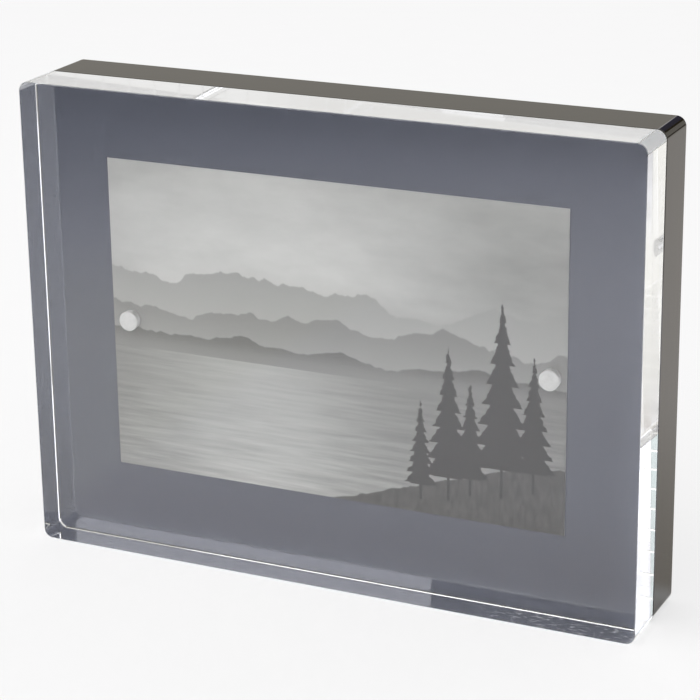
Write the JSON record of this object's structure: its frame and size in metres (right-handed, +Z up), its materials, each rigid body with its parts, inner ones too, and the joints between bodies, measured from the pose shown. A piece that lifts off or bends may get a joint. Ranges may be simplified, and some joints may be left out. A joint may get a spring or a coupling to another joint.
{
  "type": "picture frame",
  "caption": "Magnetic acrylic block picture frame: a clear front block and a dark back block that hold a print between them and stand on their own edges.",
  "frame": {"origin": "middle of the footprint, on the surface that the frame stands on", "axes": "+X to the right along the width as seen from the front, +Y from the front face to the back, +Z up"},
  "size_m": [0.2, 0.0342, 0.15],
  "materials": {
    "clear_acrylic": "clear cast acrylic, polished on all faces and edges",
    "grey_acrylic": "opaque dark grey cast acrylic, polished",
    "magnet": "satin nickel plating on a sintered magnet",
    "adhesive": "cured pale adhesive",
    "photo_paper": null
  },
  "bodies": {
    "back": {"back_block": "grey_acrylic", "rear_magnet_left": "magnet", "rear_glue_left": "adhesive", "rear_magnet_right": "magnet", "rear_glue_right": "adhesive"},
    "front": {"front_block": "clear_acrylic", "front_magnet_left": "magnet", "front_glue_left": "adhesive", "front_magnet_right": "magnet", "front_glue_right": "adhesive"},
    "print": {"photo_print": "photo_paper"}
  },
  "joints": [
    {"name": "front_pull", "type": "slide", "parent": "back", "child": "front", "axis": [0, -1, 0], "range_m": [0, 0.06]},
    {"name": "print_slide", "type": "slide", "parent": "back", "child": "print", "axis": [0, 0, 1], "range_m": [0, 0.13]}
  ]
}
